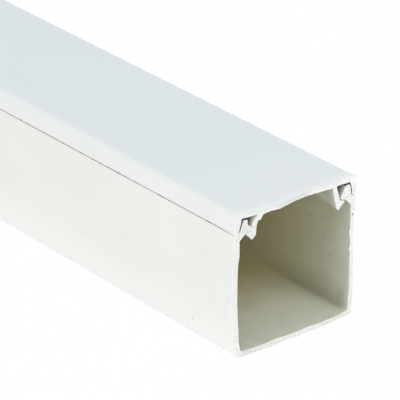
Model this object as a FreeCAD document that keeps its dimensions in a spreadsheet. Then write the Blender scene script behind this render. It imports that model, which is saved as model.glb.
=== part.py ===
import FreeCAD
import Part
import Sketcher

import math
import os

# Cord cover raceway: one section of square plastic trunking, in millimetres.
# Two extrusions run the whole length along Y. The channel is a U that lies on its floor, and each
# of its walls ends in an inward hook. The lid closes the top flush with the walls, and its two
# legs catch under the hooks. X is the width, Z is up, and the origin is the middle of the underside.

# Driving dimensions: alias, value in millimetres, meaning.
SIZES = (
    ("length", 400.0, "length of the section, sawn square at both ends"),
    ("width", 40.0, "overall width"),
    ("height", 40.0, "overall height with the lid on"),
    ("wall_thick", 1.5, "side wall of the channel"),
    ("floor_thick", 1.5, "floor of the channel"),
    ("plate_thick", 1.4, "top plate of the lid"),
    ("foot_radius", 0.5, "outer lower corners of the channel"),
    ("floor_radius", 0.6, "inner corners between floor and walls"),
    ("lid_radius", 0.6, "outer upper corners of the lid"),
    ("skirt_drop", 6.0, "from the lid's top down to the seam on the side"),
    ("skirt_edge", 1.2, "thickness of the skirt at its lower edge"),
    ("seam_rise", 1.0, "how much higher the seam is inside than outside"),
    ("seam_gap", 0.2, "open joint between the skirt and the channel's shoulder"),
    ("seam_radius", 0.15, "eased edges on both sides of the seam"),
    ("slide_gap", 0.1, "running clearance between the lid's legs and the hooks"),
    ("catch_gap", 0.2, "play between the hook's nose and the barb below it"),
    ("head_gap", 0.45, "free space between a wall's head and the lid's plate"),
    ("skirt_gap", 0.25, "free space between a wall's head and the lid's skirt"),
    ("head_lean", 0.7, "how far the head's outer face leans in over its height"),
    ("head_flat", 1.2, "flat top of a wall's head"),
    ("hook_reach", 5.0, "from the outside of the wall in to the hook's nose"),
    ("hook_drop", 5.5, "from the lid's top down to the hook's nose"),
    ("edge_radius", 0.2, "rounded edges of the heads, hooks, barbs and leg tips"),
    ("neck_reach", 3.1, "from the outside in to the neck under the hook"),
    ("neck_drop", 6.2, "from the lid's top down to the neck under the hook"),
    ("neck_radius", 0.8, "bend from the neck into the straight wall"),
    ("leg_thick", 1.45, "thickness of a leg of the lid"),
    ("leg_lean", 1.1, "how far a leg leans out from its root to the hook's nose"),
    ("leg_drop", 8.0, "from the lid's top down to the tip of a leg"),
    ("root_radius", 0.4, "fillets between a leg and the plate"),
    ("barb_short", 0.25, "how far the barb stops short of the neck"),
    ("tip_inset", 0.5, "from the hook's nose in to the tip of a leg"),
    ("tip_chamfer", 0.9, "inner chamfer at the tip of a leg"),
)

# Levels and reaches that the channel and the lid share, as expressions of the sheet's cells.
HALF = "Sizes.width / 2"
SEAM_Z = "Sizes.height - Sizes.skirt_drop"
PLATE_Z = "Sizes.height - Sizes.plate_thick"
HEAD_Z = PLATE_Z + " - Sizes.head_gap"
HOOK_Z = "Sizes.height - Sizes.hook_drop"
NECK_Z = "Sizes.height - Sizes.neck_drop"
SKIRT_X = HALF + " - Sizes.skirt_edge"
SHOULDER_X = SKIRT_X + " - Sizes.skirt_gap"
HEAD_X = SHOULDER_X + " - Sizes.head_lean"
NOSE_X = HALF + " - Sizes.hook_reach"
NECK_X = HALF + " - Sizes.neck_reach"
BARB_X = NECK_X + " - Sizes.barb_short"
BARB_Z = NECK_Z + " - Sizes.slide_gap"
ROOT_X = NOSE_X + " - Sizes.leg_lean"
TIP_X = NOSE_X + " - Sizes.tip_inset"
TIP_Z = "Sizes.height - Sizes.leg_drop"

# Right half of the channel's section, anticlockwise. None puts a corner on the axis itself.
CHANNEL_SECTION = (
    ("underside_middle", None, None),
    ("foot", HALF, None),
    ("shoulder_outer", HALF, SEAM_Z),
    ("shoulder_inner", SHOULDER_X, SEAM_Z + " + Sizes.seam_rise"),
    ("head_outer", HEAD_X, HEAD_Z),
    ("head_inner", HEAD_X + " - Sizes.head_flat", HEAD_Z),
    ("nose", NOSE_X, HOOK_Z),
    ("neck", NECK_X, NECK_Z),
    ("wall_top", HALF + " - Sizes.wall_thick", NECK_Z + " - Sizes.neck_reach + Sizes.wall_thick"),
    ("floor_corner", HALF + " - Sizes.wall_thick", "Sizes.floor_thick"),
    ("floor_middle", None, "Sizes.floor_thick"),
)

# Right half of the lid's section, clockwise from the middle of its top.
LID_SECTION = (
    ("top_middle", None, "Sizes.height"),
    ("top_edge", HALF, "Sizes.height"),
    ("skirt_outer", HALF, SEAM_Z + " + Sizes.seam_gap"),
    ("skirt_inner", SKIRT_X, SEAM_Z + " + Sizes.seam_rise + Sizes.seam_gap"),
    ("skirt_root", SKIRT_X + " - Sizes.head_lean", PLATE_Z),
    ("leg_root_outer", ROOT_X, PLATE_Z),
    ("barb_inner", NOSE_X + " - Sizes.slide_gap", HOOK_Z + " - Sizes.catch_gap"),
    ("barb", BARB_X, BARB_Z),
    ("leg_tip", TIP_X, TIP_Z),
    ("leg_chamfer", TIP_X + " - Sizes.tip_chamfer", TIP_Z + " + Sizes.tip_chamfer"),
    ("leg_root_inner", ROOT_X + " - Sizes.leg_thick", PLATE_Z),
    ("plate_middle", None, PLATE_Z),
)

# Rounded corners: sheet alias of the radius, labels of the corners that get it.
CHANNEL_ROUNDS = (
    ("foot_radius", ("foot",)),
    ("floor_radius", ("floor_corner",)),
    ("neck_radius", ("wall_top",)),
    ("seam_radius", ("shoulder_outer",)),
    ("edge_radius", ("shoulder_inner", "head_outer", "head_inner", "nose")),
)
LID_ROUNDS = (
    ("lid_radius", ("top_edge",)),
    ("root_radius", ("leg_root_outer", "leg_root_inner", "skirt_root")),
    ("seam_radius", ("skirt_outer",)),
    ("edge_radius", ("skirt_inner", "barb", "leg_tip", "leg_chamfer")),
)

# The sketcher's own numbers for its axes and for the ends of a line.
AXIS = {"horizontal": -1, "vertical": -2}
POINT = {"start": 1, "end": 2}

ROUGH_RING = 10.0
SAME_PLACE = 1e-4


def make_sheet(doc):
    """Keeps every driving dimension in one sheet, with its name and meaning beside it."""
    sheet = doc.addObject("Spreadsheet::Sheet", "Sizes")
    for row, (alias, value, meaning) in enumerate(SIZES, start=1):
        sheet.set(f"A{row}", alias)
        sheet.set(f"B{row}", str(value))
        sheet.set(f"C{row}", meaning)
        sheet.setAlias(f"B{row}", alias)
    doc.recompute()


def origin_plane(body, role):
    """One of the body's own origin planes."""
    return next(feature for feature in body.Origin.OriginFeatures if feature.Role == role)


def hold(sketch, line, label, kind, expression, axis):
    """Fixes one coordinate of a line's start point: on the axis, or at a distance from the origin."""
    if expression is None:
        sketch.addConstraint(Sketcher.Constraint("PointOnObject", line, POINT["start"], axis))
        return
    origin = (AXIS["horizontal"], POINT["start"])
    dimension = Sketcher.Constraint(kind, *origin, line, POINT["start"], ROUGH_RING)
    index = sketch.addConstraint(dimension)
    name = f"{label}_{kind[-1].lower()}"
    sketch.renameConstraint(index, name)
    sketch.setExpression(f".Constraints.{name}", expression)


def draw_section(body, name, corners):
    """Draws a closed half section through labelled corners on the body's XZ plane."""
    sketch = body.newObject("Sketcher::SketchObject", name)
    sketch.AttachmentSupport = [(origin_plane(body, "XZ_Plane"), "")]
    sketch.MapMode = "FlatFace"
    count = len(corners)
    # The outline starts as a rough ring, and its dimensions pull it into shape.
    turns = [2 * math.pi * index / count for index in range(count + 1)]
    ring = [FreeCAD.Vector(math.cos(turn), math.sin(turn), 0) * ROUGH_RING for turn in turns]
    for index in range(count):
        sketch.addGeometry(Part.LineSegment(ring[index], ring[index + 1]))
    for index, (label, across, up) in enumerate(corners):
        joint = ((index - 1) % count, POINT["end"], index, POINT["start"])
        sketch.addConstraint(Sketcher.Constraint("Coincident", *joint))
        hold(sketch, index, label, "DistanceX", across, AXIS["vertical"])
        hold(sketch, index, label, "DistanceY", up, AXIS["horizontal"])
    body.Document.recompute()
    return sketch


def corner_places(sketch, corners):
    """The solved place of each labelled corner, as (x, z)."""
    points = [line.StartPoint for line in sketch.Geometry]
    return {corner[0]: (point.x, point.y) for corner, point in zip(corners, points)}


def long_edges(shape, places):
    """Names of the edges that run along Y through any of the places, on either side of the middle."""
    names = []
    for number, edge in enumerate(shape.Edges, start=1):
        ends = [vertex.Point for vertex in edge.Vertexes]
        if abs(ends[0].y - ends[-1].y) < SAME_PLACE:
            continue
        for x, z in places:
            if all(math.hypot(abs(end.x) - x, end.z - z) < SAME_PLACE for end in ends):
                names.append(f"Edge{number}")
    return names


def extrude_section(doc, label, corners, rounds):
    """Extrudes a half section along the length, mirrors it and rounds its long edges."""
    body = doc.addObject("PartDesign::Body", label)
    body.Label = label
    sketch = draw_section(body, f"{label}_section", corners)
    pad = body.newObject("PartDesign::Pad", f"{label}_half")
    pad.Profile = (sketch, [""])
    pad.SideType = "Symmetric"
    pad.setExpression("Length", "Sizes.length")
    doc.recompute()
    whole = body.newObject("PartDesign::Mirrored", f"{label}_whole")
    whole.Originals = [pad]
    whole.MirrorPlane = (origin_plane(body, "YZ_Plane"), [""])
    body.Tip = whole
    doc.recompute()
    places = corner_places(sketch, corners)
    for alias, labels in rounds:
        base = body.Tip
        edges = long_edges(base.Shape, [places[name] for name in labels])
        if len(edges) != 2 * len(labels):
            raise RuntimeError(f"{label}: {alias} found {len(edges)} edges for {labels}")
        fillet = body.newObject("PartDesign::Fillet", f"{label}_{alias}")
        fillet.Base = (base, edges)
        fillet.setExpression("Radius", f"Sizes.{alias}")
        body.Tip = fillet
        doc.recompute()
    return body


def check_document(doc, bodies):
    """Stops the build if any feature failed or a piece isn't one valid solid."""
    for item in doc.Objects:
        if "Invalid" in item.State or "Error" in item.State:
            raise RuntimeError(f"{item.Label} failed: {item.State}")
    for body in bodies:
        shape = body.Shape
        if shape.isNull() or not shape.isValid() or len(shape.Solids) != 1:
            raise RuntimeError(f"{body.Label} isn't one valid solid")


def export_parts(bodies, folder="parts"):
    """Writes each piece to its own file and prints what it measures."""
    os.makedirs(folder, exist_ok=True)
    for body in bodies:
        body.Shape.exportStep(os.path.join(folder, f"{body.Label}.step"))
        box = body.Shape.BoundBox
        size = f"{box.XLength:.2f} x {box.YLength:.2f} x {box.ZLength:.2f} mm"
        print(f"{body.Label}: {size}, {body.Shape.Volume / 1000:.2f} cm3, {len(body.Shape.Faces)} faces")


def main():
    doc = FreeCAD.newDocument("raceway")
    make_sheet(doc)
    channel = extrude_section(doc, "base_channel", CHANNEL_SECTION, CHANNEL_ROUNDS)
    lid = extrude_section(doc, "snap_lid", LID_SECTION, LID_ROUNDS)
    doc.recompute()
    check_document(doc, (channel, lid))
    overlap = channel.Shape.common(lid.Shape).Volume
    print(f"overlap of lid and channel: {overlap:.4f} mm3")
    export_parts((channel, lid))


main()
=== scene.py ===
# %% [markdown]
# A square cord cover raceway, dressed for its portrait.
#
# The object is a section of white plastic trunking: a channel with a floor and two walls, and a lid that
# clips onto it. The CAD model already has both extrusions at their real size. Blender's job is what a
# drawing leaves out: the hand-sawn end, the burrs that the saw leaves, the skin that the extrusion die
# draws along the plastic, and the light. This first cell loads the CAD model, which is never changed,
# and reads the overall sizes from it. Everything below is worked out in millimetres.

# %% Load the CAD frame
import math

import bpy
import numpy as np
from mathutils import Matrix, Vector, noise
from mathutils.geometry import delaunay_2d_cdt


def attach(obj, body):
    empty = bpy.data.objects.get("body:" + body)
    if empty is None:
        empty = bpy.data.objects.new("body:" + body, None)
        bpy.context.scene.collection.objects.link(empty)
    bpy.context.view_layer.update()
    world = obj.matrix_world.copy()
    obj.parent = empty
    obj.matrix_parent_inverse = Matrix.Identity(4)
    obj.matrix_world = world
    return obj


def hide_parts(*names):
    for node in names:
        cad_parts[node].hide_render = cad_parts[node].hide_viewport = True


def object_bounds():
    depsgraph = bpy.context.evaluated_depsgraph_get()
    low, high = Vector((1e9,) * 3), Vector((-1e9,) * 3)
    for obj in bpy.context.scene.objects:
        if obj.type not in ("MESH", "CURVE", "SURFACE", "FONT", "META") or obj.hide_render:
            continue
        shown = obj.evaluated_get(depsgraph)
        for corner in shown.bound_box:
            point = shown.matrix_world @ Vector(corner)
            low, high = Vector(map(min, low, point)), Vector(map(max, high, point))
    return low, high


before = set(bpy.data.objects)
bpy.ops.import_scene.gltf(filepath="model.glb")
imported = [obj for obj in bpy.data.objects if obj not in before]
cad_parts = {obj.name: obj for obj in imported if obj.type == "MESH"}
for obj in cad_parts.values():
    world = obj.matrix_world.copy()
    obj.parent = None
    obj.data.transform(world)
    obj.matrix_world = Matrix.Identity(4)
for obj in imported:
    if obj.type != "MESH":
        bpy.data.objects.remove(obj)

MM = 0.001
CAD_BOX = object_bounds()
WIDTH, LENGTH, HEIGHT = [(high - low) / MM for low, high in zip(*CAD_BOX)]
print(f"CAD model: {WIDTH:.1f} wide, {LENGTH:.1f} long, {HEIGHT:.1f} high, in mm")

# %% [markdown]
# The section of an extrusion is one closed line. Both pieces are the same left and right, so only the
# right half is written down, as corners: across, up, and the radius of the corner. The clip between
# them is worked out from a few levels and reaches, the same ones that the CAD model has: a head on top
# of each wall stands under the lid, its nose points inward, and a leg of the lid passes the nose and
# catches under it with a barb. The corners run anticlockwise, so the plastic is on the left hand.

# %% Half sections of the channel and the lid
HALF = WIDTH / 2
FLOOR_TOP = 1.5
WALL_IN = HALF - 1.5
PLATE_UNDER = HEIGHT - 1.4
SEAM = HEIGHT - 6.0
SEAM_GAP = 0.2
SKIRT_IN = HALF - 1.2
SHOULDER_IN = SKIRT_IN - 0.25
SHOULDER_UP = SEAM + 1.0
HEAD_OUT = SHOULDER_IN - 0.7
HEAD_IN = HEAD_OUT - 1.2
HEAD_TOP = PLATE_UNDER - 0.45
NOSE_IN = HALF - 5.0
NOSE_UP = HEIGHT - 5.5
NECK_IN = HALF - 3.1
NECK_UP = HEIGHT - 6.2
LEG_OUT = NOSE_IN - 1.1
LEG_IN = LEG_OUT - 1.45
TIP_UP = HEIGHT - 8.0
CHANNEL_CORNERS = (
    (0.0, 0.0, 0.0), (HALF, 0.0, 0.5), (HALF, SEAM, 0.15), (SHOULDER_IN, SHOULDER_UP, 0.2),
    (HEAD_OUT, HEAD_TOP, 0.2), (HEAD_IN, HEAD_TOP, 0.2), (NOSE_IN, NOSE_UP, 0.2), (NECK_IN, NECK_UP, 0.15),
    (WALL_IN, NECK_UP - 1.6, 0.8), (WALL_IN, FLOOR_TOP, 0.6), (0.0, FLOOR_TOP, 0.0),
)
LID_CORNERS = (
    (0.0, PLATE_UNDER, 0.0), (LEG_IN, PLATE_UNDER, 0.4), (NOSE_IN - 1.4, TIP_UP + 0.9, 0.2),
    (NOSE_IN - 0.5, TIP_UP, 0.2), (NECK_IN - 0.25, NECK_UP - 0.1, 0.2), (NOSE_IN - 0.1, NOSE_UP - 0.2, 0.1),
    (LEG_OUT, PLATE_UNDER, 0.4), (SKIRT_IN - 0.7, PLATE_UNDER, 0.4),
    (SKIRT_IN, SHOULDER_UP + SEAM_GAP, 0.2), (HALF, SEAM + SEAM_GAP, 0.15), (HALF, HEIGHT, 0.6),
    (0.0, HEIGHT, 0.0),
)
print("corners in the half sections:", len(CHANNEL_CORNERS), "and", len(LID_CORNERS))

# %% [markdown]
# Extruded plastic has no sharp corner, and a rounded one catches a thin line of light. A Bevel modifier
# could round them, but it would also round the sawn end, which is sharp. So each corner of the section
# is turned into a short arc before anything is swept.

# %% Round the corners of a section
ARC_STEP = math.radians(15.0)


def arc_points(before, corner, after, radius):
    """The points of the arc that replaces one corner."""
    back = (before - corner) / np.linalg.norm(before - corner)
    ahead = (after - corner) / np.linalg.norm(after - corner)
    half_angle = math.acos(float(np.clip(back @ ahead, -1, 1))) / 2
    middle = (back + ahead) / np.linalg.norm(back + ahead)
    centre = corner + middle * radius / math.sin(half_angle)
    start = corner + back * radius / math.tan(half_angle) - centre
    end = corner + ahead * radius / math.tan(half_angle) - centre
    turn = math.pi - 2 * half_angle
    steps = max(2, math.ceil(turn / ARC_STEP))
    points = []
    for step in range(steps + 1):
        share = step / steps
        blend = math.sin((1 - share) * turn) * start + math.sin(share * turn) * end
        points.append(centre + blend / math.sin(turn))
    return points


def rounded(corners):
    """The half section with every corner rounded."""
    places = [np.array(corner[:2]) for corner in corners]
    points = [places[0]]
    for index in range(1, len(corners) - 1):
        radius = corners[index][2]
        points += arc_points(places[index - 1], places[index], places[index + 1], radius)
    return points + [places[-1]]


print("points in the rounded halves:", len(rounded(CHANNEL_CORNERS)), "and", len(rounded(LID_CORNERS)))

# %% [markdown]
# The half is mirrored into a closed loop, and the long straight runs are cut into short steps. Those
# steps carry no shape of their own, but the ragged sawn edge needs points that it can push about.

# %% Close the loop and cut it into short steps
STEP = 0.45


def closed_loop(corners):
    """The whole section as an array of points, with no step longer than STEP."""
    right = rounded(corners)
    left = [np.array((-x, z)) for x, z in reversed(right[1:-1])]
    loop = right + left
    points = []
    for start, end in zip(loop, loop[1:] + loop[:1]):
        pieces = max(1, math.ceil(np.linalg.norm(end - start) / STEP))
        points += [start + (end - start) * k / pieces for k in range(pieces)]
    return np.array(points)


def outward(loop):
    """Unit vectors that point away from the plastic at each point of a loop."""
    along = np.roll(loop, -1, axis=0) - np.roll(loop, 1, axis=0)
    normal = np.stack([along[:, 1], -along[:, 0]], axis=1)
    return normal / np.linalg.norm(normal, axis=1)[:, None]


CHANNEL_LOOP = closed_loop(CHANNEL_CORNERS)
LID_LOOP = closed_loop(LID_CORNERS)
print("points round the channel and the lid:", len(CHANNEL_LOOP), "and", len(LID_LOOP))

# %% [markdown]
# The end of the raceway was sawn by hand, and the cut wanders by a millimetre or two. The floor bows
# forward, the left wall is cut back, and the lid's plate stands forward in a tongue left of its middle.
# The wander is given at named places of the end. Between them it bends like a thin metal sheet that is
# pressed through all of those depths: that is the smoothest surface through scattered points, and it
# takes one small set of linear equations.

# %% How far the saw wandered
CHANNEL_WANDER = (
    # across, up, how far the cut lies behind the square one
    (-19.8, 0.2, -0.45), (-18.4, 0.0, -0.75), (-16.0, 0.0, -0.9), (-11.5, 0.0, -1.15), (-4.0, 0.0, -0.85),
    (0.0, 0.0, -1.05), (5.0, 0.0, -0.95), (9.0, 0.0, -0.65), (12.0, 0.0, -0.35), (15.0, 0.0, 0.05),
    (19.5, 0.0, 0.3), (-18.5, 1.5, -0.8), (-17.0, 1.5, -1.0), (-16.0, 1.5, -1.0), (-11.5, 1.5, -1.2),
    (-8.0, 1.5, -1.3), (-4.0, 1.5, -1.15), (0.0, 1.5, -1.15), (3.0, 1.5, -0.8), (6.0, 1.5, -1.05),
    (9.0, 1.5, -1.05), (12.0, 1.5, -0.9), (15.0, 1.5, -0.6), (-19.2, 3.0, 0.8), (-19.2, 6.0, 1.0),
    (-19.2, 10.0, 1.4), (-19.2, 15.0, 1.6), (-19.2, 20.0, 1.5), (-19.2, 24.5, 1.4), (-19.2, 28.0, 0.9),
    (-19.2, 32.0, 0.9), (-17.0, 34.0, 0.6), (-17.0, 38.0, 0.1), (19.2, 4.0, 0.2), (19.2, 9.0, 0.3),
    (19.2, 14.0, 0.5), (19.2, 19.0, 0.7), (19.2, 23.0, 0.8), (19.2, 28.0, 0.4), (19.2, 33.0, 0.2),
    (17.0, 34.0, 0.5), (17.0, 38.0, 0.2),
)
LID_WANDER = (
    (-20.0, 40.0, 1.3), (-16.5, 40.0, 0.7), (-14.5, 40.0, 0.3), (-12.5, 40.0, 0.0), (-10.5, 40.0, 0.2),
    (-9.0, 40.0, -0.2), (-6.5, 40.0, -0.9), (-4.0, 40.0, -0.5), (0.0, 40.0, 0.0), (3.0, 40.0, 0.5),
    (5.5, 40.0, 1.1), (8.0, 40.0, 0.9), (12.0, 40.0, 1.0), (16.0, 40.0, 1.4), (18.5, 40.0, 1.2),
    (20.0, 40.0, 0.3), (-11.0, 38.6, -0.4), (-8.0, 38.6, -0.5), (-5.0, 38.6, -0.5), (-3.0, 38.6, 0.0),
    (-1.0, 38.6, 0.4), (3.0, 38.6, 0.8), (6.0, 38.6, 0.8), (9.0, 38.6, 0.6), (12.0, 38.6, 0.4),
    (-17.0, 38.6, 0.3), (17.0, 38.6, 0.4), (-19.4, 35.0, 0.7), (19.4, 35.0, 0.4), (-14.0, 35.5, 0.2),
    (14.0, 35.5, 0.2), (-14.0, 32.5, 0.2), (14.0, 32.5, 0.2), (-16.0, 33.6, 0.4), (16.0, 33.6, 0.4),
)
SAME_PLACE = 1e-9


def bend(apart):
    """How much a thin sheet bends at a distance from one pressed place."""
    return apart ** 2 * np.log(np.maximum(apart, SAME_PLACE))


def wander(points, places):
    """How far each point of the sawn end lies behind the square cut, in mm."""
    spots = np.array(places)
    flat = np.hstack([np.ones((len(spots), 1)), spots[:, :2]])
    between_spots = np.linalg.norm(spots[:, None, :2] - spots[None, :, :2], axis=2)
    equations = np.block([[bend(between_spots), flat], [flat.T, np.zeros((3, 3))]])
    weights = np.linalg.solve(equations, np.append(spots[:, 2], np.zeros(3)))
    to_spots = np.linalg.norm(points[:, None, :] - spots[None, :, :2], axis=2)
    plane = np.hstack([np.ones((len(points), 1)), points])
    return bend(to_spots) @ weights[:-3] + plane @ weights[-3:]


for name, loop, places in (("channel", CHANNEL_LOOP, CHANNEL_WANDER), ("lid", LID_LOOP, LID_WANDER)):
    depths = wander(loop, places)
    print(f"{name}: the cut runs from {depths.min():.2f} to {depths.max():.2f} mm behind square")

# %% [markdown]
# The saw also pushed a few places sideways. On the channel, the lower right corner is pinched in, the
# right wall is thinned at its cut and carries small flakes, and a chip is gone from the left head. On
# the lid, the left leg is bent outward, with a torn web at its root and its barb pulled down, the right
# leg leans inward, and the edges of both skirts are pressed down onto the walls. Each push fades out
# round its middle, and along the length.

# %% Pushes near the sawn end
CHANNEL_PUSHES = (
    # across, up, reach across, reach up, push across, push up, depth along the length
    (20.0, 0.0, 6.0, 6.0, -0.55, 0.0, 45.0),
    (18.5, 20.0, 0.8, 8.0, 0.45, 0.0, 3.0),
    (19.8, 26.5, 0.8, 5.0, -0.2, 0.0, 3.0),
    (-18.5, 1.7, 0.9, 1.2, -0.5, -0.05, 2.5),
    (18.5, 19.0, 0.6, 0.6, -0.6, 0.0, 0.5),
    (18.5, 10.5, 0.5, 0.5, -0.25, 0.0, 0.5),
    (18.5, 5.5, 0.5, 0.5, -0.25, 0.0, 0.5),
    (18.5, 30.5, 0.5, 0.5, -0.2, 0.0, 0.5),
    (18.5, 26.5, 0.4, 0.4, -0.2, 0.0, 0.4),
    (18.5, 24.0, 0.6, 0.6, -0.55, 0.0, 0.5),
    (18.5, 22.6, 0.3, 0.3, -0.2, 0.0, 0.3),
    (18.5, 16.7, 0.5, 0.6, -0.4, 0.0, 0.4),
    (18.5, 14.0, 0.5, 0.4, -0.3, 0.0, 0.4),
    (-15.9, 36.5, 0.8, 0.8, -0.4, 0.1, 2.0),
    (-15.4, 35.2, 0.5, 0.5, 0.2, 0.45, 2.0),
)
LID_PUSHES = (
    (-13.4, 36.6, 2.6, 2.6, -0.55, 0.0, 6.0),
    (-13.9, 38.6, 1.0, 0.9, 1.2, 0.0, 2.0),
    (-12.7, 38.4, 0.6, 0.8, -0.1, -1.25, 1.6),
    (-12.2, 38.6, 0.45, 0.5, 0.05, -0.6, 1.6),
    (-14.5, 32.0, 0.8, 0.8, -0.35, -0.15, 3.0),
    (13.5, 36.2, 2.4, 4.0, -0.5, 0.0, 6.0),
    (13.9, 32.1, 0.8, 0.8, -0.3, -0.4, 3.0),
    (-19.6, 34.3, 1.0, 1.0, 0.0, -0.2, 2.5),
    (19.6, 34.3, 1.0, 1.0, 0.0, -0.2, 2.5),
    (20.0, 40.0, 0.6, 0.5, 0.45, 0.3, 1.5),
    (20.0, 38.8, 0.5, 0.4, -0.4, 0.0, 0.6),
)


def pushed(points, depth, pushes):
    """Moves section points by the pushes that reach this depth."""
    moved = points.copy()
    for x, z, wide, tall, across, up, fade in pushes:
        near = np.exp(-((points[:, 0] - x) / wide) ** 2 - ((points[:, 1] - z) / tall) ** 2)
        moved += near[:, None] * math.exp(-(depth / fade) ** 2) * np.array((across, up))
    return moved


for name, loop, pushes in (("channel", CHANNEL_LOOP, CHANNEL_PUSHES), ("lid", LID_LOOP, LID_PUSHES)):
    print(f"{name}: largest push {np.linalg.norm(pushed(loop, 0.0, pushes) - loop, axis=1).max():.2f} mm")

# %% [markdown]
# Much of what follows asks where on the section a point is, and three small words keep that short.
# folded lays the left half on the right one, so that both walls are asked about at once. within is a
# plain yes or no, and ramp is a slope from 0 to 1.

# %% Words for places on a section
def folded(loop):
    """The distance from the middle and the height of each point."""
    return np.abs(loop[:, 0]), loop[:, 1]


def within(value, low, high):
    """True where a value lies between two bounds."""
    return (value > low) & (value < high)


def ramp(value, start, end):
    """0 at the start, 1 at the end and beyond it, and a straight slope between them."""
    return np.clip((value - start) / (end - start), 0.0, 1.0)


print("points of the channel's floor:", within(CHANNEL_LOOP[:, 1], -0.1, FLOOR_TOP + 0.1).sum())

# %% [markdown]
# A saw pushes plastic over the inner edge of the cut, and leaves a ragged lip there: the burr. On the
# floor it stands up to about 0.4 mm into the channel, and elsewhere it reaches only a share of that:
# less on the walls and under the lid, and hardly anything outside and in the narrow gaps of the clip.
# Two layers of noise, cut off at zero, make a lip that comes and goes.

# %% Where the burr stands
BURR_HEIGHT = 0.4
RIGHT_WALL_SHARE = 0.15
LEFT_WALL_SHARE = 0.3
PLATE_SHARE = 0.4
OTHER_SHARE = 0.1


def plate_edge(loop):
    """1 on the lower edge of the lid's plate between the legs, elsewhere 0."""
    x, z = folded(loop)
    return ((x < LEG_IN + 0.75) & within(z, PLATE_UNDER - 0.2, PLATE_UNDER + 0.2)).astype(float)


def burr_share(loop):
    """How much of a burr each point of a loop may carry: 1 on the floor, little outside."""
    x, z = folded(loop)
    normal = outward(loop)
    side = np.sign(loop[:, 0])
    on_floor = (z < 2 * FLOOR_TOP) & (normal[:, 1] > 0.5)
    on_wall = within(x, WALL_IN - 0.5, WALL_IN + 0.5) & (z < NECK_UP - 1.3) & (side * normal[:, 0] < -0.5)
    wall = np.where(side > 0, RIGHT_WALL_SHARE, LEFT_WALL_SHARE)
    elsewhere = np.where(plate_edge(loop) > 0, PLATE_SHARE, OTHER_SHARE)
    return np.where(on_floor, ramp(x, WALL_IN, WALL_IN - 4.0), np.where(on_wall, wall, elsewhere))


def rough(x, z, pace, seed):
    """Noise over the section, about -1 to 1. A higher pace makes it finer."""
    return noise.noise(Vector((x * pace, z * pace, seed)))


def ragged(loop, seed):
    """Height of a burr at each point of a loop, in mm."""
    heights = []
    for x, z in loop:
        height = 0.25 + 0.9 * rough(x, z, 0.35, seed) + 1.1 * rough(x, z, 1.9, seed + 7.0)
        heights.append(max(0.0, height) * BURR_HEIGHT)
    return np.array(heights) * burr_share(loop)


print(f"tallest burr on the channel: {ragged(CHANNEL_LOOP, 1).max():.2f} mm")

# %% [markdown]
# Along the length, the rings of points are close together where the cut is and far apart in the plain
# middle. A long thin extrusion is never dead straight either: slow noise moves both pieces together by
# a few hundredths of a millimetre, so that the light runs unevenly along the faces. The lower edge of
# the lid's skirt has a wave of its own, so the joint on the side is wider in some places than others.

# %% Rings along the length
END_RINGS = (0.0, 0.1, 0.25, 0.5, 0.9, 1.5, 2.3, 3.3, 4.6, 6.2, 8.2, 11.0, 15.0, 20.0, 26.0)
MIDDLE_RING = 6.0
SETTLE = 9.0
SWAY_ACROSS = 0.035
SWAY_UP = 0.025
SWAY_FREE = 5.0
SKIRT_SAG = -0.07
SLOW_WAVE = 0.04
QUICK_WAVE = 0.03


def ring_distances():
    """Distances of the rings from the near end, in mm."""
    first = END_RINGS[-1]
    count = round((LENGTH - 2 * first) / MIDDLE_RING)
    middle = [first + (LENGTH - 2 * first) * k / count for k in range(1, count)]
    return list(END_RINGS) + middle + [LENGTH - distance for distance in reversed(END_RINGS)]


def fades(distance):
    """1 at a cut, and smoothly 0 once the end has settled into the plain extrusion."""
    share = min(1.0, distance / SETTLE)
    return 1.0 - share * share * (3.0 - 2.0 * share)


def sway(x, y, z):
    """The slow unevenness of the extrusion, the same field for both pieces, in mm."""
    across = noise.noise(Vector((x * 0.02, y * 0.012, z * 0.04 + 3.0)))
    up = noise.noise(Vector((x * 0.03, y * 0.015 + 9.0, z * 0.02)))
    return SWAY_ACROSS * across, SWAY_UP * up * min(1.0, z / SWAY_FREE)


def joint_wave(x, y):
    """How much the lower edge of the lid's skirt lifts at a place along the length, in mm."""
    side = WIDTH if x > 0 else 0.0
    slow = noise.noise(Vector((side, y * 0.045, 5.0)))
    quick = noise.noise(Vector((side, y * 0.21, 8.0)))
    return SKIRT_SAG + SLOW_WAVE * slow + QUICK_WAVE * quick


print("rings along the length:", len(ring_distances()))

# %% [markdown]
# Some of the look belongs to places on the section: painted shade lies in the joint, in the gaps of the
# clip, and in the corners of the floor. Painting these by hand would need textures. Instead each
# place is written down as a share from 0 to 1 at every point of the loop, and the mesh will carry it
# along as an attribute that the material can read.

# %% Places on the section that the finish asks for
def joint_share(loop):
    """1 on the faces of the joint between the lid's skirt and the wall, elsewhere 0."""
    x, z = folded(loop)
    return (within(x, HEAD_OUT, HALF - 0.06) & within(z, SEAM, SHOULDER_UP + 1.5)).astype(float)


def clip_share(loop):
    """1 on the faces of the narrow slits over and outside the head of each wall, elsewhere 0."""
    x, z = folded(loop)
    over = (x > HEAD_IN - 0.3) & (z > HEAD_TOP - 0.3)
    outside = (x > HEAD_OUT - 0.1) & (z > SHOULDER_UP - 0.1)
    return ((over | outside) & (x < SKIRT_IN + 0.05) & (z < PLATE_UNDER + 0.05)).astype(float)


def chamber_share(loop):
    """1 on the faces of the chamber between a leg and the head of its wall, elsewhere 0."""
    x, z = folded(loop)
    beside = within(x, LEG_OUT - 0.05, HEAD_IN + 0.1)
    return (beside & within(z, NOSE_UP - 0.1, PLATE_UNDER + 0.05)).astype(float)


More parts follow.
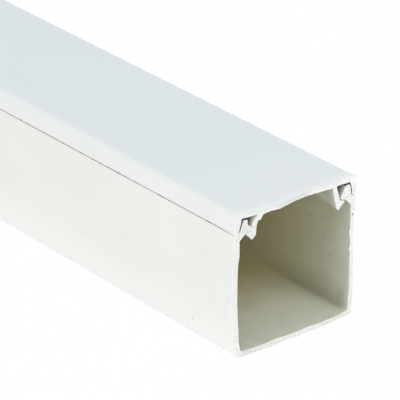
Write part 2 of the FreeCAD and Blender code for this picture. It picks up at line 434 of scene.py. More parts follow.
def corner_shade(loop):
    """How much painted shade an inside point gets near the floor-wall corner, more on the wall."""
    x, z = folded(loop)
    on_wall = ramp(z, FLOOR_TOP + 8.0, FLOOR_TOP) * (x > WALL_IN - 0.7)
    on_floor = 0.5 * ramp(x, WALL_IN - 4.0, WALL_IN) * (z < FLOOR_TOP + 0.7)
    return np.maximum(on_wall, on_floor)


def skirt_share(loop):
    """1 at the lower edge of the lid's skirt, and less above it."""
    x, z = folded(loop)
    return np.where(x > SKIRT_IN - 0.5, ramp(z, SEAM + 3.0, SEAM + 0.5), 0.0)


for share in (joint_share, clip_share, chamber_share):
    print(share.__name__, "marks", int(share(CHANNEL_LOOP).sum()), "points of the channel")

# %% [markdown]
# A saw whitens the plastic that it tears, but not evenly. This cut is whitest on the right, and the lid's
# plate only from its middle to the right. The lower left corner of the channel's cut is painted dull, as
# painted shade, because its tilted face catches more of the high lamp.

# %% How white the saw left the cut, and where shade is painted dull
def whitening_and_shade(loop, is_lid):
    """1 where the sawn plastic is white, and 0 where it is dull, at the lower left as painted shade."""
    x, z = loop.T
    right = ramp(x, -17.0, -3.0)
    if not is_lid:
        # painted shade: the lower left corner of the channel's cut is left dull
        left = np.where(z > NECK_UP, 0.25, 0.6 * ramp(z, 2.0, 10.0))
        return left + (1.0 - left) * right
    below = ramp(z, HEIGHT - 0.2, HEIGHT - 1.0) * ramp(x, -6.0, 0.0)
    under_plate = ramp(z, PLATE_UNDER + 0.8, PLATE_UNDER + 0.3) * (0.35 + 0.35 * right)
    return np.maximum(0.9 * below, under_plate)


print(f"mean whiteness of the channel's edge: {whitening_and_shade(CHANNEL_LOOP, False).mean():.2f}")

# %% [markdown]
# The sweep: every ring is the section, moved to its place along Y. The ring at each cut is drawn in by
# a few hundredths, so that the arris isn't a knife edge, and the burr and the wander are added to the
# rings next to it. Beside the vertices, the sweep returns how far each of them is from the nearest cut,
# and how pale it is: white on the burr that the saw left, and a painted highlight along the arris.

# %% Sweep a section along the length
ARRIS = 0.05
BURR_DEPTH = 0.35
ARRIS_HIGHLIGHT_REACH = 0.4
DAYLIGHT = 45.0
BURR_PALENESS = 4.0
ARRIS_HIGHLIGHT = 0.7


def swept_rings(loop, near, far, pushes, burr, skirt, white):
    """Vertices of all rings, and for each its distance from a cut and its burr white and painted highlight.
    """
    normal = outward(loop)
    vertices = []
    reach = []
    lip = []
    for distance in ring_distances():
        behind = LENGTH - distance
        section = pushed(loop, distance, pushes)
        close = min(distance, behind)
        depth = near * fades(close) if distance < behind else -far * fades(close)
        lift = burr * math.exp(-(close / BURR_DEPTH) ** 2)
        drawn_in = ARRIS * max(0.0, 1.0 - close / END_RINGS[1])
        section = section + normal * (lift - drawn_in)[:, None]
        # painted highlight along the arris of each cut, fading within a millimetre behind it
        edge = ARRIS_HIGHLIGHT * math.exp(-(close / ARRIS_HIGHLIGHT_REACH) ** 2)
        for index, (x, z) in enumerate(section):
            y = distance - LENGTH / 2 + depth[index]
            across, up = sway(x, y, z)
            if skirt[index] > 0:
                up += skirt[index] * joint_wave(x, y)
            vertices.append(((x + across) * MM, y * MM, (z + up) * MM))
            reach.append(min(1.0, close / DAYLIGHT))
            lip.append(min(1.0, (lift[index] * BURR_PALENESS + edge) * white[index]))
    return vertices, reach, lip


def side_faces(rings, count):
    """Quads between neighbouring rings of count points."""
    faces = []
    for ring in range(rings - 1):
        for index in range(count):
            following = (index + 1) % count
            a = ring * count + index
            b = ring * count + following
            faces.append((a, b, b + count, a + count))
    return faces


# the painted arris highlight reaches about this far behind a cut
print(f"the skin is whitened for about {2 * ARRIS_HIGHLIGHT_REACH:.1f} mm behind a cut")

# %% [markdown]
# The sawn face itself is filled by a constrained triangulation: its border is the ring at that end, and
# points strewn inside it let the face be uneven, as a coarse saw leaves it. A plain n-gon would be flat
# and would shade badly.

# %% Fill a sawn end
GRAIN = 0.4
BORDER_CLEAR = 0.28
KEEP_INSIDE = 1
SAME_POINT = 1e-5
RIDGE_PITCH = 5.5
RIDGE_HEIGHT = 0.025
TEAR_HEIGHT = 0.05


def strewn_points(ring, seed):
    """Points inside a section, about GRAIN apart and clear of its border."""
    chance = np.random.default_rng(seed)
    low = ring.min(axis=0)
    high = ring.max(axis=0)
    across = np.arange(low[0], high[0], GRAIN)
    up = np.arange(low[1], high[1], GRAIN)
    grid = np.array([(x, z) for z in up for x in across])
    grid = grid + chance.uniform(-0.3 * GRAIN, 0.3 * GRAIN, grid.shape)
    clear = []
    following = np.roll(ring, -1, axis=0)
    for point in grid:
        crosses = (ring[:, 1] > point[1]) != (following[:, 1] > point[1])
        with np.errstate(divide="ignore", invalid="ignore"):
            slope = (following[:, 0] - ring[:, 0]) / (following[:, 1] - ring[:, 1])
            where = ring[:, 0] + (point[1] - ring[:, 1]) * slope
        inside = np.count_nonzero(crosses & (where > point[0])) % 2 == 1
        if inside and np.min(np.linalg.norm(ring - point, axis=1)) > BORDER_CLEAR:
            clear.append(point)
    return np.array(clear)


def cap(ring, seed):
    """Extra points and triangles that fill a ring. Indices below len(ring) are the ring's own."""
    extra = strewn_points(ring, seed)
    everything = [Vector(point) for point in np.vstack([ring, extra])]
    border = list(range(len(ring)))
    result = delaunay_2d_cdt(everything, [], [border], KEEP_INSIDE, SAME_POINT)
    origin = [ids[0] if ids else -1 for ids in result[3]]
    triangles = [[origin[corner] for corner in face] for face in result[2]]
    return extra, [face for face in triangles if -1 not in face]


def uneven(x, z, seed):
    """Relief of the sawn face, in mm: ridges of the saw's strokes with fine tearing."""
    stroke = math.sin(z * RIDGE_PITCH + x * 0.35 + 2.0 * rough(x, z, 0.2, seed))
    return RIDGE_HEIGHT * stroke + TEAR_HEIGHT * rough(x, z, 2.5, seed + 4.0)


print("triangles on the lid's sawn face:", len(cap(LID_LOOP, 2)[1]))

# %% [markdown]
# A sawn face brings its strewn points into the mesh. On the near cut, their depth comes from the same
# wander as that of the border. The far end is out of sight, so it is cut nearly square. It also looks
# the other way, so its triangles are turned round: a sign of 1 means the near end, and -1 the far one.

# %% Points, notes and triangles of a sawn face
FAR_WANDER = 0.35


def far_wander(loop, seed):
    """How far the far end's cut strays from square, in mm."""
    strays = [noise.noise(Vector((x * 0.06, z * 0.08, seed + 20.0))) for x, z in loop]
    return np.array([FAR_WANDER * stray for stray in strays])


def face_vertices(extra, depths, sign, seed):
    """The strewn points of a sawn face, each at its own depth."""
    square = -sign * LENGTH / 2
    levels = [square + depth + uneven(x, z, seed) for (x, z), depth in zip(extra, depths)]
    return [(x * MM, level * MM, z * MM) for (x, z), level in zip(extra, levels)]


def face_triangles(triangles, start, count, base, sign):
    """Triangles in the numbers of the mesh: the border begins at start, the strewn points at base."""
    faces = []
    for triangle in triangles:
        corners = [start + k if k < count else base + k - count for k in triangle]
        faces.append(tuple(corners[::sign]))
    return faces


def note_face(notes, start, count, extra, is_lid):
    """Adds the notes of the strewn points, and marks the border as sawn too."""
    on_face = {"sawn_face": np.ones(len(extra)), "cut_whitening_and_shade": whitening_and_shade(extra, is_lid)}
    for title in notes:
        notes[title] += list(on_face.get(title, np.zeros(len(extra))))
    notes["sawn_face"][start:start + count] = [1.0] * count


print(f"the channel's far cut strays by {np.abs(far_wander(CHANNEL_LOOP, 1)).max():.2f} mm at most")

# %% [markdown]
# Now the pieces can be put together: rings, sides, two sawn ends and the attributes. Normals are smooth
# along the soft corners. An edge is sharp only where two faces meet at more than a certain angle, as
# they do all round the cut.

# %% Build an extrusion
SHARP = math.radians(38)


def section_notes(loop, is_lid, rings):
    """The attributes that are the same in every ring."""
    x, z = folded(loop)
    inside = (x < WALL_IN + 0.45) & within(z, FLOOR_TOP - 0.1, PLATE_UNDER + 0.1)
    shares = {
        "inside_face": inside.astype(float),
        "joint_face": joint_share(loop),
        "clip_face": clip_share(loop),
        "chamber_face": chamber_share(loop),
        "corner_shade": corner_shade(loop),
        "cut_whitening_and_shade": whitening_and_shade(loop, is_lid),
        "sawn_face": np.zeros(len(loop)),
    }
    return {title: list(np.tile(share, rings)) for title, share in shares.items()}


def piece_from(name, vertices, faces, notes):
    """A mesh object that carries the notes as attributes of its points."""
    mesh = bpy.data.meshes.new(name)
    mesh.from_pydata(vertices, [], faces)
    for title, values in notes.items():
        mesh.attributes.new(title, "FLOAT", "POINT").data.foreach_set("value", values)
    mesh.shade_smooth()
    mesh.set_sharp_from_angle(angle=SHARP)
    mesh.update()
    piece = bpy.data.objects.new(name, mesh)
    bpy.context.scene.collection.objects.link(piece)
    print(name, "vertices:", len(mesh.vertices), "faces:", len(mesh.polygons))
    return piece


def extrusion(name, loop, places, pushes, is_lid, seed):
    """A mesh object for one extrusion, sawn at both ends."""
    count = len(loop)
    skirt = skirt_share(loop) * is_lid
    white = np.maximum(whitening_and_shade(loop, is_lid), plate_edge(loop)) * (1.0 - clip_share(loop))
    cuts = (wander(loop, places), far_wander(loop, seed))
    vertices, reach, lip = swept_rings(loop, *cuts, pushes, ragged(loop, seed), skirt, white)
    rings = len(vertices) // count
    faces = side_faces(rings, count)
    notes = section_notes(loop, is_lid, rings)
    notes["far_from_cut"] = reach
    notes["burr_and_arris_light"] = lip
    for ring, sign in ((0, 1), (rings - 1, -1)):
        start = ring * count
        border = np.array(vertices[start:start + count])[:, (0, 2)] / MM
        extra, triangles = cap(border, seed + ring)
        depths = wander(extra, places) if sign == 1 else -far_wander(extra, seed)
        faces += face_triangles(triangles, start, count, len(vertices), sign)
        vertices += face_vertices(extra, depths, sign, seed)
        note_face(notes, start, count, extra, is_lid)
    return piece_from(name, vertices, faces, notes)


channel = extrusion("channel_sawn", CHANNEL_LOOP, CHANNEL_WANDER, CHANNEL_PUSHES, is_lid=False, seed=1)
lid = extrusion("lid_sawn", LID_LOOP, LID_WANDER, LID_PUSHES, is_lid=True, seed=2)

# %% [markdown]
# Each new piece rides on the body of the CAD piece that it stands for, and hides that CAD piece. When
# the lid slides, the detailed lid goes with it.

# %% Let the pieces stand for the CAD nodes
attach(channel, "channel")
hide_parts("base_channel")
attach(lid, "cover")
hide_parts("snap_lid")
print("channel_sawn stands for base_channel, and lid_sawn for snap_lid")

# %% [markdown]
# Shader nodes are easier to read as sums. The class Wire holds one output socket, and its operators add
# Math nodes, so that 1 - mask * 0.5 is written as it is thought. Every other node comes from the method
# node of NodeTree: its settings are set first, and then its sockets get values or links. A material and
# the world are both node trees, so both are written in the same way.

# %% A small language for shader maths
class Wire:
    """An output socket that can be used in Python arithmetic."""

    def __init__(self, nodes, socket):
        self.nodes = nodes
        self.socket = socket

    def maths(self, operation, first, second):
        """Adds a Math node and returns its output."""
        return self.nodes.node("ShaderNodeMath", {"operation": operation}, {0: first, 1: second})

    def __add__(self, other):
        return self.maths("ADD", self, other)

    def __radd__(self, other):
        return self.maths("ADD", other, self)

    def __sub__(self, other):
        return self.maths("SUBTRACT", self, other)

    def __rsub__(self, other):
        return self.maths("SUBTRACT", other, self)

    def __mul__(self, other):
        return self.maths("MULTIPLY", self, other)

    def __rmul__(self, other):
        return self.maths("MULTIPLY", other, self)


class NodeTree:
    """The nodes of a material or of the world, emptied and ready to be written."""

    def __init__(self, owner):
        owner.use_nodes = True
        self.tree = owner.node_tree
        self.tree.nodes.clear()

    def node(self, kind, settings=None, sockets=None, output=0):
        """Adds a node and returns one of its outputs, or nothing if output is None."""
        made = self.tree.nodes.new(kind)
        for key, value in (settings or {}).items():
            setattr(made, key, value)
        for key, value in (sockets or {}).items():
            if isinstance(value, Wire):
                self.tree.links.new(value.socket, made.inputs[key])
            else:
                made.inputs[key].default_value = value
        return None if output is None else Wire(self, made.outputs[output])


print("operators of Wire:", [name for name in vars(Wire) if name.endswith(("add__", "sub__", "mul__"))])

# %% [markdown]
# Helpers say what the finish needs in a maker's words. stretched gives the object's own coordinates in
# millimetres, pulled along any axis. between turns a value into a soft mask, and band into one that
# rises and falls again. mixed blends two colours, because a Math node would turn a colour grey. srgb
# turns a colour as a screen shows it into the linear light that a shader wants.

# %% Helpers for the plastic
def stretched(nodes, x=1.0, y=1.0, z=1.0):
    """Object coordinates in mm, each axis times a factor."""
    place = nodes.node("ShaderNodeTexCoord", output="Object")
    factor = (x / MM, y / MM, z / MM)
    return nodes.node("ShaderNodeVectorMath", {"operation": "MULTIPLY"}, {0: place, 1: factor})


def coordinate(nodes, axis):
    """Place along one axis in mm: X across, Y along, Z above the floor."""
    return nodes.node("ShaderNodeSeparateXYZ", {}, {"Vector": stretched(nodes)}, output=axis)


def cloud(nodes, place, scale, detail=3.0):
    """Fractal noise from 0 to 1."""
    sockets = {"Vector": place, "Scale": scale, "Detail": detail, "Roughness": 0.55}
    return nodes.node("ShaderNodeTexNoise", {"normalize": True}, sockets)


def between(nodes, value, low, high):
    """A soft mask: 0 below low, 1 above high."""
    sockets = {"Value": value, 1: low, 2: high, 3: 0.0, 4: 1.0}
    return nodes.node("ShaderNodeMapRange", {"interpolation_type": "SMOOTHSTEP"}, sockets)


def band(nodes, value, start, full, fade, end):
    """A soft mask: 1 from full to fade, 0 below start and above end."""
    return between(nodes, value, start, full) * (1 - between(nodes, value, fade, end))


def mixed(nodes, mask, first, second):
    """The first colour where the mask is 0, and the second where it is 1."""
    settings = {"data_type": "RGBA", "clamp_factor": True}
    return nodes.node("ShaderNodeMix", settings, {0: mask, 6: first, 7: second}, output=2)


def remembered(nodes, title):
    """An attribute of the mesh."""
    return nodes.node("ShaderNodeAttribute", {"attribute_name": title}, output="Fac")


def srgb(red, green, blue):
    """A colour read off a screen, 0 to 255, as linear light for a shader."""
    linear = []
    for value in (red, green, blue):
        share = value / 255
        linear.append(share / 12.92 if share <= 0.04045 else ((share + 0.055) / 1.055) ** 2.4)
    return (*linear, 1.0)


print("srgb(238, 240, 240) is", [round(value, 3) for value in srgb(238, 240, 240)])

# %% [markdown]
# A few specks of grime sit on the faces, outside and in. Those that were seen are placed where they were
# seen, each as a small soft ball of distance with a wobbly rim. A Voronoi texture strews a few more
# over the outside, so that the parts nobody saw look handled in the same way.

# %% Specks of grime
SPECKS = (
    # across, along, up, radius in mm, darkness
    (-20.0, -122.7, 2.2, 0.32, 0.75), (-20.0, -182.3, 4.0, 0.36, 0.8), (-20.0, -135.6, 11.3, 0.45, 0.28),
    (-20.0, -104.3, 21.4, 0.3, 0.18), (-20.0, -167.7, 1.7, 0.35, 0.2), (19.1, -199.6, 29.1, 0.45, 0.9),
    (18.5, -192.0, 14.7, 0.5, 0.38), (18.5, -196.7, 9.5, 0.48, 0.25), (18.5, -193.4, 21.1, 0.45, 0.22),
    (18.5, -183.7, 23.0, 0.9, 0.12), (0.1, -186.0, 1.5, 0.5, 0.2), (-4.7, -193.9, 1.5, 0.48, 0.22),
    (16.3, -163.8, 1.5, 0.7, 0.18),
)
RIM_WOBBLE = 0.35
STREWN_DARKNESS = 0.55


def placed_specks(nodes):
    """A mask of the specks that were seen on the real piece."""
    place = stretched(nodes)
    wobble = cloud(nodes, place, 2.2, 2.0) * RIM_WOBBLE
    total = 0.0
    for x, y, z, radius, darkness in SPECKS:
        sockets = {0: place, 1: (x, y, z)}
        away = nodes.node("ShaderNodeVectorMath", {"operation": "DISTANCE"}, sockets, output="Value")
        spot = 1 - between(nodes, away + wobble, radius * 0.7, radius * 1.3)
        total = spot * darkness + total
    return total


def strewn_specks(nodes):
    """A mask of sparse grime all along the outside."""
    settings = {"voronoi_dimensions": "3D", "feature": "F1"}
    sockets = {"Vector": stretched(nodes), "Scale": 0.055, "Randomness": 1.0}
    away = nodes.node("ShaderNodeTexVoronoi", settings, sockets, output="Distance")
    patchy = cloud(nodes, stretched(nodes), 0.02, 1.0)
    dots = (1 - between(nodes, away, 0.012, 0.024)) * between(nodes, patchy, 0.42, 0.6)
    return dots * STREWN_DARKNESS * (1 - remembered(nodes, "inside_face"))


print("specks placed by hand:", len(SPECKS))

# %% [markdown]
# Rigid white PVC is a soft white with a low sheen. The outside is drawn over a smooth sizing tool, so its
# white varies only a little. The tones over it are painted light and shade: the foot of the side is painted
# paler, as light bounced up from the paper, the top is painted cooler, as cool sky light, its left edge is
# painted nearly neutral, as light from the side lamp, and its last millimetres before the cut are paler.
# A grey band of painted shade dims the rounded top edge. One flat colour would need the lamps to do all
# that, so soft masks lay the tones down.

# %% Skin of the outside
FLOOR_BOUNCE_WHITE = srgb(248, 249, 247)
EDGE_SHADE_GREY = srgb(222, 227, 227)
SKY_TINT_NEAR = srgb(233, 241, 243)
SKY_TINT_FAR = srgb(230, 239, 245)
SKY_TINT_AT_CUT = srgb(243, 248, 249)
SIDE_LAMP_EDGE_WHITE = srgb(240, 244, 244)
FLOOR_BOUNCE_HEIGHT = 14.0
TOP_DEPTH = 0.2
SIDE_LAMP_EDGE_WIDTH = 3.2


def outer_skin(nodes, skin, shade, drawn):
    """The white of the outside, a little uneven, with painted light and shade: paler foot, cooler top."""
    up = coordinate(nodes, "Z")
    far = remembered(nodes, "far_from_cut")
    mottle = cloud(nodes, stretched(nodes), 0.05, 4.0)
    plain = mixed(nodes, between(nodes, mottle * 0.7 + drawn * 0.3, 0.3, 0.7), shade, skin)
    # painted light: the foot of the side is paler, as if lit by light bounced up from the paper
    plain = mixed(nodes, (1 - between(nodes, up, 0.0, FLOOR_BOUNCE_HEIGHT)) * 0.7, plain, FLOOR_BOUNCE_WHITE)
    # painted shade: a grey band dims the rounded top edge where it faces the lamps
    edge = band(nodes, up, HEIGHT - 0.8, HEIGHT - 0.4, HEIGHT - 0.1, HEIGHT)
    plain = mixed(nodes, edge * 0.4, plain, EDGE_SHADE_GREY)
    # painted light: a cool sky tint on the top face, paler in the last millimetres before the cut
    cool = mixed(nodes, between(nodes, far, 0.1, 1.0), SKY_TINT_NEAR, SKY_TINT_FAR)
    cool = mixed(nodes, between(nodes, far, 0.0, 0.07), SKY_TINT_AT_CUT, cool)
    # painted light: the left edge of the top is nearly neutral, as lit by the side lamp
    side_lamp_edge = 1 - between(nodes, coordinate(nodes, "X"), -HALF - 1.0, -HALF + SIDE_LAMP_EDGE_WIDTH)
    cool = mixed(nodes, side_lamp_edge * 0.85, cool, SIDE_LAMP_EDGE_WHITE)
    top = between(nodes, up, HEIGHT - TOP_DEPTH, HEIGHT - 0.04)
    return mixed(nodes, top * 0.9, plain, cool)


def skirt_highlight(nodes):
    """A mask of a painted highlight along the foot of the lid's skirt, brighter in some stretches."""
    rim = band(nodes, coordinate(nodes, "Z"), SEAM + 0.1, SEAM + 0.2, SEAM + 0.45, SEAM + 0.6)
    stretches = cloud(nodes, stretched(nodes, 0.05, 1.0, 0.05), 0.3, 2.0)
    return rim * between(nodes, stretches, 0.3, 0.6) * (1 - remembered(nodes, "sawn_face"))


print(f"the skin turns cool in the last {TOP_DEPTH} mm below the top face")

# %% [markdown]
# The inside never touched the sizing tool, so it is creamier and duller. Over that cream, light and shade
# are painted: it runs from a pale grey tone by the cut to a warm olive one behind it, the olive depth that
# light bouncing between warm faces gives the real piece. The underside of the lid is painted warmest, as
# shade under the plate, the floor is painted cool by the cut and warm behind it, the walls get a bright
# rim of painted light at the cut, and the corner between floor and wall gets painted shade. Beyond the
# reach of daylight the cream goes back to grey, so that the channel doesn't look stained when the lid is
# off.

# %% Cream of the inside
DEEP_CREAM = (srgb(218, 212, 174), srgb(224, 218, 184))
HIDDEN_CREAM = (srgb(219, 218, 202), srgb(225, 224, 209))
PALE_CREAM = (srgb(211, 214, 196), srgb(218, 221, 204))
UNDERSIDE_SHADE = srgb(196, 174, 60)
FLOOR_PALE = srgb(224, 228, 218)
FLOOR_WARM = srgb(234, 229, 188)
CUT_RIM_LIGHT = srgb(250, 250, 236)
SMUDGE_DARK = srgb(176, 170, 136)
SMUDGE_PALE = srgb(238, 238, 224)
CORNER_SHADE_TONE = srgb(150, 148, 122)
HIDDEN_FROM = 48.0
HIDDEN_TO = 100.0


def inner_cream(nodes, drawn):
    """The cream of the inside, drawn in streaks along the length, with painted light and shade over it."""
    up = coordinate(nodes, "Z")
    far = remembered(nodes, "far_from_cut")
    hidden = between(nodes, coordinate(nodes, "Y"), -LENGTH / 2 + HIDDEN_FROM, -LENGTH / 2 + HIDDEN_TO)
    # painted light and shade: a pale grey cream by the cut and a warm olive cream behind it
    deep = mixed(nodes, hidden, mixed(nodes, drawn, *DEEP_CREAM), mixed(nodes, drawn, *HIDDEN_CREAM))
    cream = mixed(nodes, between(nodes, far, 0.0, 0.9), mixed(nodes, drawn, *PALE_CREAM), deep)
    # painted shade: the warmest, darkest cream under the lid's plate, near the cut
    under_lid = between(nodes, up, PLATE_UNDER - 0.4, PLATE_UNDER - 0.1) * between(nodes, far, 0.02, 0.3)
    cream = mixed(nodes, under_lid * (1 - hidden), cream, UNDERSIDE_SHADE)
    on_floor = 1 - between(nodes, up, FLOOR_TOP, FLOOR_TOP + 0.5)
    # painted light and shade on the floor: cool and pale by the cut, warm behind it
    floor_tone = mixed(nodes, between(nodes, far, 0.25, 0.85) * (1 - hidden), FLOOR_PALE, FLOOR_WARM)
    cream = mixed(nodes, on_floor * 0.5, cream, floor_tone)
    # painted light: a bright rim on the inside walls by the cut
    by_cut = (1 - between(nodes, far, 0.0, 0.05)) * (1 - on_floor)
    cream = mixed(nodes, by_cut * 0.45, cream, CUT_RIM_LIGHT)
    smudges = cloud(nodes, stretched(nodes), 0.28, 4.0)
    cream = mixed(nodes, between(nodes, smudges, 0.5, 0.7) * 0.12, cream, SMUDGE_DARK)
    cream = mixed(nodes, (1 - between(nodes, smudges, 0.3, 0.48)) * 0.12, cream, SMUDGE_PALE)
    # painted shade in the corner between floor and wall, some way behind the cut
    shaded = remembered(nodes, "corner_shade") * band(nodes, far, 0.0, 0.08, 0.35, 1.0)
    return mixed(nodes, shaded * 0.55, cream, CORNER_SHADE_TONE)


print(f"the cream turns grey between {HIDDEN_FROM:.0f} and {HIDDEN_TO:.0f} mm from the sawn end")

# %% [markdown]
# The sawn face is raw, matt and brighter, with ridges and torn pits. Painted shade lies in the joint
# between the lid and the wall, and draws it as a dark line that comes and goes. Painted shade darkens the
# gaps of the clip too, but only for the first ten millimetres behind a cut.

# %% Raw cut, and painted shade in the gaps
FRESH_CUT = (srgb(241, 242, 238), srgb(249, 249, 246))
DULL_CUT = (srgb(227, 230, 227), srgb(233, 236, 233))
FLECK_WHITE = srgb(255, 255, 252)
PIT_GREY = srgb(158, 156, 146)
CLIP_SHADE_END = 0.22


def raw_cut(nodes, stroke, grit, pitted):
    """The sawn plastic, white where the saw whitened it and dull elsewhere, with small darker pits and
    white flecks.
    """
    white = between(nodes, stroke * 0.5 + grit * 0.5, 0.35, 0.6)
    cut_whiteness = remembered(nodes, "cut_whitening_and_shade")
    face = mixed(nodes, cut_whiteness, mixed(nodes, white, *DULL_CUT), mixed(nodes, white, *FRESH_CUT))
    off_left = between(nodes, coordinate(nodes, "X"), -WALL_IN - 0.5, -WALL_IN + 2.0)
    torn = pitted * (0.2 + 0.8 * off_left)
    face = mixed(nodes, between(nodes, grit, 0.56, 0.64) * torn, face, FLECK_WHITE)
    return mixed(nodes, (1 - between(nodes, grit, 0.33, 0.42)) * torn, face, PIT_GREY)


def joint_shade(nodes):
    """A mask of painted shade in the joint, uneven along the length, and none at a cut."""
    patches = cloud(nodes, stretched(nodes, 0.02, 1.0, 0.02), 0.09, 3.0)
    dots = cloud(nodes, stretched(nodes, 0.05, 1.0, 0.05), 0.55, 2.0)
    behind = between(nodes, remembered(nodes, "far_from_cut"), 0.0, 0.02)
    thick = 0.38 + 0.2 * between(nodes, patches, 0.35, 0.65) + 0.3 * between(nodes, dots, 0.52, 0.62)
    return remembered(nodes, "joint_face") * behind * thick


def clip_shade(nodes):
    """A mask of painted shade in the gaps of the clip, which fades out behind the cut."""
    far = remembered(nodes, "far_from_cut")
    slits = remembered(nodes, "clip_face") * (1 - between(nodes, far, 0.03, 0.1))
    chamber = remembered(nodes, "chamber_face") * band(nodes, far, 0.0, 0.07, 0.12, CLIP_SHADE_END)
    return slits * 0.85 + chamber * 0.75


# the painted shade in the gaps of the clip ends this far behind a cut
print(f"the grime in the clip ends {CLIP_SHADE_END * DAYLIGHT:.0f} mm behind a cut")

# %% [markdown]
# All of it comes together in one plastic. The die leaves faint lines along the length, which are noise
# stretched along Y, and a Bump node gives them, the orange peel of the skin and the grit of the cut a
# little relief. The channel and the lid came from two dies, so each gets its own white, and the
# channel's cut is more pitted than the lid's.

# %% Rigid PVC
SKIRT_HIGHLIGHT_WHITE = srgb(255, 255, 253)
BURR_AND_ARRIS_WHITE = srgb(254, 254, 250)
GRIME_BROWN = srgb(96, 92, 84)
GAP_SHADE_GREY = srgb(78, 76, 70)
RELIEF = {"Strength": 0.35, "Distance": 0.06 * MM}


def plastic(title, skin, shade, pitted):
    """Rigid PVC with an extruded skin, a creamy inside and raw sawn ends."""
    material = bpy.data.materials.new(title)
    nodes = NodeTree(material)
    sawn = remembered(nodes, "sawn_face")
    inside = remembered(nodes, "inside_face")
    drawn = cloud(nodes, stretched(nodes, 2.2, 0.006, 2.2), 1.0, 3.0)
    peel = cloud(nodes, stretched(nodes), 0.9, 2.0)
    grit = cloud(nodes, stretched(nodes), 2.3, 4.0)
    stroke = cloud(nodes, stretched(nodes, 0.25, 1.0, 3.2), 1.0, 3.0)
    grime = placed_specks(nodes) + strewn_specks(nodes)
    # painted shade in the joint and in the gaps of the clip
    gap_shade = (joint_shade(nodes) + clip_shade(nodes)) * (1 - sawn)
    colour = mixed(nodes, inside, outer_skin(nodes, skin, shade, drawn), inner_cream(nodes, drawn))
    colour = mixed(nodes, sawn, colour, raw_cut(nodes, stroke, grit, pitted))
    # painted highlight along the foot of the lid's skirt
    colour = mixed(nodes, skirt_highlight(nodes), colour, SKIRT_HIGHLIGHT_WHITE)
    # the white of the burr, and a painted highlight along the arris of the cut
    colour = mixed(nodes, remembered(nodes, "burr_and_arris_light") * 0.8, colour, BURR_AND_ARRIS_WHITE)
    colour = mixed(nodes, grime, colour, GRIME_BROWN)
    colour = mixed(nodes, gap_shade, colour, GAP_SHADE_GREY)
    relief = drawn * 0.35 + peel * 0.25 + sawn * (stroke * 2.0 + grit * 2.5)
    surface = nodes.node("ShaderNodeBsdfPrincipled", {}, {
        "Base Color": colour,
        "Roughness": 0.34 + peel * 0.1 + inside * 0.14 + sawn * 0.32 + grime * 0.2,
        "Normal": nodes.node("ShaderNodeBump", {}, {**RELIEF, "Height": relief}),
        "IOR": 1.53,
        "Specular IOR Level": 0.4,
    })
    nodes.node("ShaderNodeOutputMaterial", {}, {"Surface": surface}, output=None)
    print(title, "nodes:", len(nodes.tree.nodes))
    return material


channel.data.materials.append(plastic("channel_plastic", srgb(240, 242, 238), srgb(235, 238, 233), 0.75))
lid.data.materials.append(plastic("lid_plastic", srgb(241, 243, 241), srgb(236, 240, 237), 0.15))

# %% [markdown]
# The floor is white paper that only the camera sees as pure white. Light Path splits the rays: to the
# camera, and in reflections, it glows at strength 1, and to all other light it is matt paper, which
# bounces light back under the raceway. A little of the matt paper stays in what the camera sees, so
# that the contact shadow isn't lost. The paper lies a hair below the raceway, so that the two faces
# don't fight for the same place.

# %% Floor
PAPER_GLOW = 0.99
PAPER_REACH = 6.0
PAPER_DROP = 0.1
WHITE = (1.0, 1.0, 1.0, 1.0)


def background_rays(nodes):
    """1 for the rays that should see a white background, and 0 for those that carry light."""
    seen = nodes.node("ShaderNodeLightPath", output="Is Camera Ray")
    mirrored = nodes.node("ShaderNodeLightPath", output="Is Glossy Ray")
    through = nodes.node("ShaderNodeLightPath", output="Is Transmission Ray")
    return seen + mirrored + through


def paper():
    """White paper that looks pure white to the camera and keeps a faint shadow."""
    material = bpy.data.materials.new("white_paper")
    nodes = NodeTree(material)
    matt = nodes.node("ShaderNodeBsdfDiffuse", {}, {"Color": srgb(240, 240, 240)})
    glow = nodes.node("ShaderNodeEmission", {}, {"Color": WHITE, "Strength": 1.0})
    shown = background_rays(nodes) * PAPER_GLOW
    surface = nodes.node("ShaderNodeMixShader", {}, {0: shown, 1: matt, 2: glow})
    nodes.node("ShaderNodeOutputMaterial", {}, {"Surface": surface}, output=None)
    return material


quarters = ((-1, -1), (1, -1), (1, 1), (-1, 1))
paper_corners = [(x * PAPER_REACH, y * PAPER_REACH, 0.0) for x, y in quarters]
floor_mesh = bpy.data.meshes.new("floor")
floor_mesh.from_pydata(paper_corners, [], [(0, 1, 2, 3)])
floor_mesh.materials.append(paper())
floor = bpy.data.objects.new("floor", floor_mesh)
floor.location.z = -PAPER_DROP * MM
bpy.context.scene.collection.objects.link(floor)
print(f"the floor lies {PAPER_DROP} mm under the raceway")

# %% [markdown]
# The world is an even studio: white to the camera, and a soft dimmer light to everything else.

# %% World
WORLD_STRENGTH = 0.6


def studio_world():
    """White to the camera, dimmer as a light."""
    world = bpy.data.worlds.new("studio")
    bpy.context.scene.world = world
    nodes = NodeTree(world)
    light = nodes.node("ShaderNodeBackground", {}, {"Color": WHITE, "Strength": WORLD_STRENGTH})
    white = nodes.node("ShaderNodeBackground", {}, {"Color": WHITE, "Strength": 1.0})
    shown = nodes.node("ShaderNodeMixShader", {}, {0: background_rays(nodes), 1: light, 2: white})
    nodes.node("ShaderNodeOutputWorld", {}, {"Surface": shown}, output=None)
    print("world nodes:", len(nodes.tree.nodes))


studio_world()

# %% [markdown]
# Large soft lamps shape the object. One stands low at the left and lights the long side. The others
# stand before the sawn end, one low and one high, and send light down onto the channel's floor.

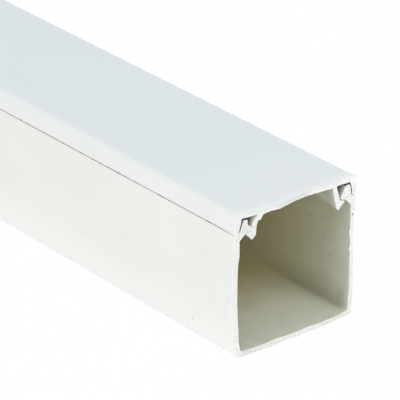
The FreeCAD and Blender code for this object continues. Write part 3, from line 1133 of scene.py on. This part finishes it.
# %% Lamps
LAMPS = (
    # name, place and size in m, power in W
    ("side_lamp", (-1.9, -0.1, 0.55), 1.2, 10.4),
    ("end_lamp", (-0.6, -1.8, 0.4), 0.9, 5.5),
    ("high_lamp", (0.1, -1.2, 1.5), 0.9, 7.5),
)
LAMP_AIM = Vector((0.0, -0.1, 0.02))


def soft_lamp(title, place, size, power):
    """A square area lamp that points at the near half of the raceway."""
    data = bpy.data.lights.new(title, "AREA")
    data.shape = "SQUARE"
    data.size = size
    data.energy = power
    lamp = bpy.data.objects.new(title, data)
    lamp.location = place
    lamp.rotation_mode = "QUATERNION"
    lamp.rotation_quaternion = (LAMP_AIM - Vector(place)).to_track_quat("-Z", "Y")
    bpy.context.scene.collection.objects.link(lamp)


for settings in LAMPS:
    soft_lamp(*settings)
print("lamps:", [lamp[0] for lamp in LAMPS])

# %% [markdown]
# The camera stands at the photograph's viewing angle. Its place was worked out from the straight edges
# of the raceway, whose real proportions are known. The lens is long, so the edges hardly converge.

# %% Camera
CAMERA_PLACE = (-0.502619, -0.785978, 0.399921)
AZIMUTH = math.radians(-38.763)
ELEVATION = math.radians(25.087)
ROLL = math.radians(0.326)
SENSOR = 36.0
LENS = 299.88
NEAREST = 0.05
FARTHEST = 50.0


def photo_camera():
    """The camera of the photograph."""
    back = Vector((
        math.sin(AZIMUTH) * math.cos(ELEVATION),
        -math.cos(AZIMUTH) * math.cos(ELEVATION),
        math.sin(ELEVATION),
    ))
    right = Vector((math.cos(AZIMUTH), math.sin(AZIMUTH), 0.0))
    up = back.cross(right)
    turned_right = right * math.cos(ROLL) + up * math.sin(ROLL)
    turned_up = up * math.cos(ROLL) - right * math.sin(ROLL)
    data = bpy.data.cameras.new("photo_camera")
    data.sensor_width = SENSOR
    data.lens = LENS
    data.clip_start = NEAREST
    data.clip_end = FARTHEST
    camera = bpy.data.objects.new("photo_camera", data)
    turn = Matrix((turned_right, turned_up, back)).transposed()
    camera.matrix_world = Matrix.Translation(CAMERA_PLACE) @ turn.to_4x4()
    bpy.context.scene.collection.objects.link(camera)
    bpy.context.scene.camera = camera
    print(f"camera {math.dist(CAMERA_PLACE, (0, -LENGTH / 2 * MM, 0)):.2f} m from the sawn end")


photo_camera()
bpy.context.scene.view_settings.view_transform = "Standard"
